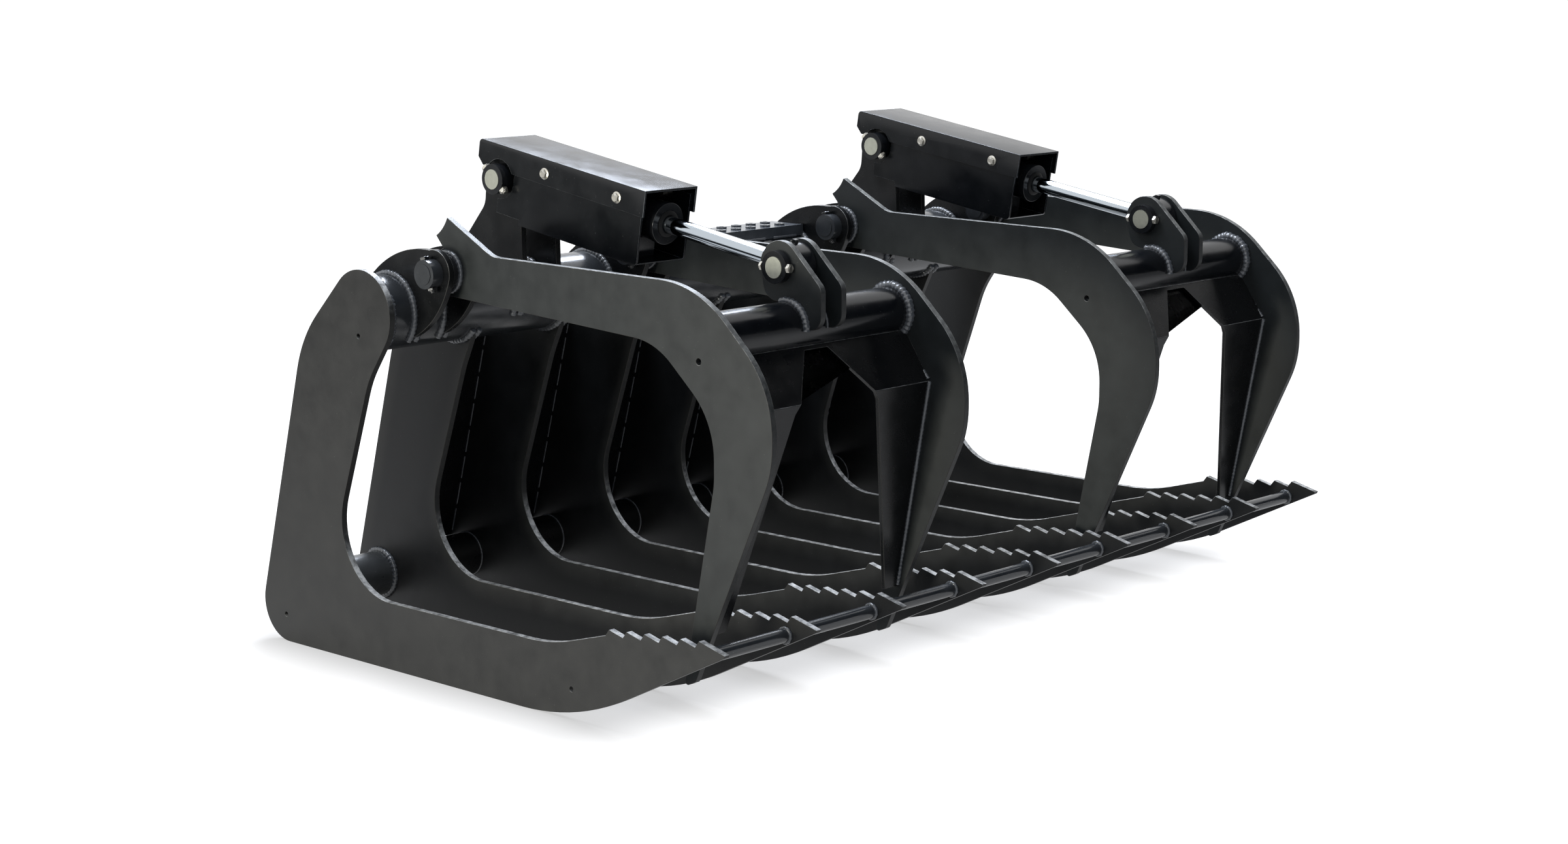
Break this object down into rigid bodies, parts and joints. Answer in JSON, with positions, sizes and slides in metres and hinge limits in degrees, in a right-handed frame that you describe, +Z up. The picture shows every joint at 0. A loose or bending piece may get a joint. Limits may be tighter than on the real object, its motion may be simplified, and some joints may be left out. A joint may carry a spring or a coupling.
{
  "type": "grapple bucket",
  "caption": "Skid steer root grapple bucket with profile-cut tines, toothed tips and hydraulic grapple arms that clamp a load; quick-attach back.",
  "frame": {"origin": "on the floor, in the middle of the bucket's width and depth", "axes": "+X across the bucket to its right end, -Y to the tine tips, +Y to the mounting side, +Z up"},
  "size_m": [1.8416, 1.305, 0.9765],
  "materials": {
    "frame_coating": "semi-gloss black powder coat",
    "pin_steel": "semi-gloss black powder coat",
    "black_fastener": "black painted cross bolts",
    "zinc_fastener": "bright zinc-plated bolts",
    "chrome_rod": "hard chrome",
    "guard_coating": "semi-gloss black powder coat"
  },
  "bodies": {
    "frame": {"tine_1": "frame_coating", "tine_2": "frame_coating", "tine_3": "frame_coating", "tine_4": "frame_coating", "tine_5": "frame_coating", "tine_6": "frame_coating", "tine_7": "frame_coating", "tine_8": "frame_coating", "tine_9": "frame_coating", "main_tube": "frame_coating", "rear_lower_tube": "frame_coating", "front_cross_bar": "frame_coating", "back_panels": "frame_coating", "attach_plate": "frame_coating", "attach_top_lip": "frame_coating", "attach_bottom_ledge": "frame_coating", "pivot_ears_left": "frame_coating", "pivot_ears_right": "frame_coating", "pivot_pins": "pin_steel", "pivot_collars": "pin_steel", "pivot_bolts": "black_fastener", "cylinder_towers": "frame_coating", "base_pins": "pin_steel", "base_pin_collars": "pin_steel", "base_pin_bolts": "zinc_fastener", "step_tread": "frame_coating"},
    "grapple_left": {"arm_left_outer": "frame_coating", "arm_left_inner": "frame_coating", "pivot_hubs_left": "frame_coating", "cross_tube_left": "frame_coating", "web_left": "frame_coating", "rod_ears_left": "frame_coating", "rod_pin_left": "pin_steel", "rod_collars_left": "pin_steel", "rod_pin_bolt_left": "zinc_fastener"},
    "barrel_left": {"barrel_left": "frame_coating", "base_eye_left": "frame_coating", "gland_left": "frame_coating", "cylinder_guard_left": "guard_coating", "guard_cover_left": "guard_coating", "cover_bolts_left": "zinc_fastener"},
    "rod_left": {"cylinder_rod_left": "chrome_rod", "rod_eye_left": "frame_coating"},
    "grapple_right": {"arm_right_outer": "frame_coating", "arm_right_inner": "frame_coating", "pivot_hubs_right": "frame_coating", "cross_tube_right": "frame_coating", "web_right": "frame_coating", "rod_ears_right": "frame_coating", "rod_pin_right": "pin_steel", "rod_collars_right": "pin_steel", "rod_pin_bolt_right": "zinc_fastener"},
    "barrel_right": {"barrel_right": "frame_coating", "base_eye_right": "frame_coating", "gland_right": "frame_coating", "cylinder_guard_right": "guard_coating", "guard_cover_right": "guard_coating", "cover_bolts_right": "zinc_fastener"},
    "rod_right": {"cylinder_rod_right": "chrome_rod", "rod_eye_right": "frame_coating"}
  },
  "joints": [
    {"name": "grapple_left_hinge", "type": "hinge", "parent": "frame", "child": "grapple_left", "pos_m": [-0.552, 0.16052, 0.748], "axis": [-1, 0, 0], "range_deg": [0, 60]},
    {"name": "barrel_left_hinge", "type": "hinge", "parent": "frame", "child": "barrel_left", "pos_m": [-0.552, 0.23552, 0.9025], "axis": [-1, 0, 0], "range_deg": [-1, 58]},
    {"name": "rod_left_slide", "type": "slide", "parent": "barrel_left", "child": "rod_left", "axis": [0, -0.9867, -0.1626], "range_m": [-0.175, 0.002]},
    {"name": "grapple_right_hinge", "type": "hinge", "parent": "frame", "child": "grapple_right", "pos_m": [0.552, 0.16052, 0.748], "axis": [-1, 0, 0], "range_deg": [0, 60]},
    {"name": "barrel_right_hinge", "type": "hinge", "parent": "frame", "child": "barrel_right", "pos_m": [0.552, 0.23552, 0.9025], "axis": [-1, 0, 0], "range_deg": [-1, 58]},
    {"name": "rod_right_slide", "type": "slide", "parent": "barrel_right", "child": "rod_right", "axis": [0, -0.9867, -0.1626], "range_m": [-0.175, 0.002]}
  ],
  "couplings": [
    {"joint": "barrel_left_hinge", "follows": "grapple_left_hinge", "ratio": 0.94683},
    {"joint": "rod_left_slide", "follows": "grapple_left_hinge", "m_per_rad": -0.16116},
    {"joint": "barrel_right_hinge", "follows": "grapple_right_hinge", "ratio": 0.94683},
    {"joint": "rod_right_slide", "follows": "grapple_right_hinge", "m_per_rad": -0.16116}
  ]
}
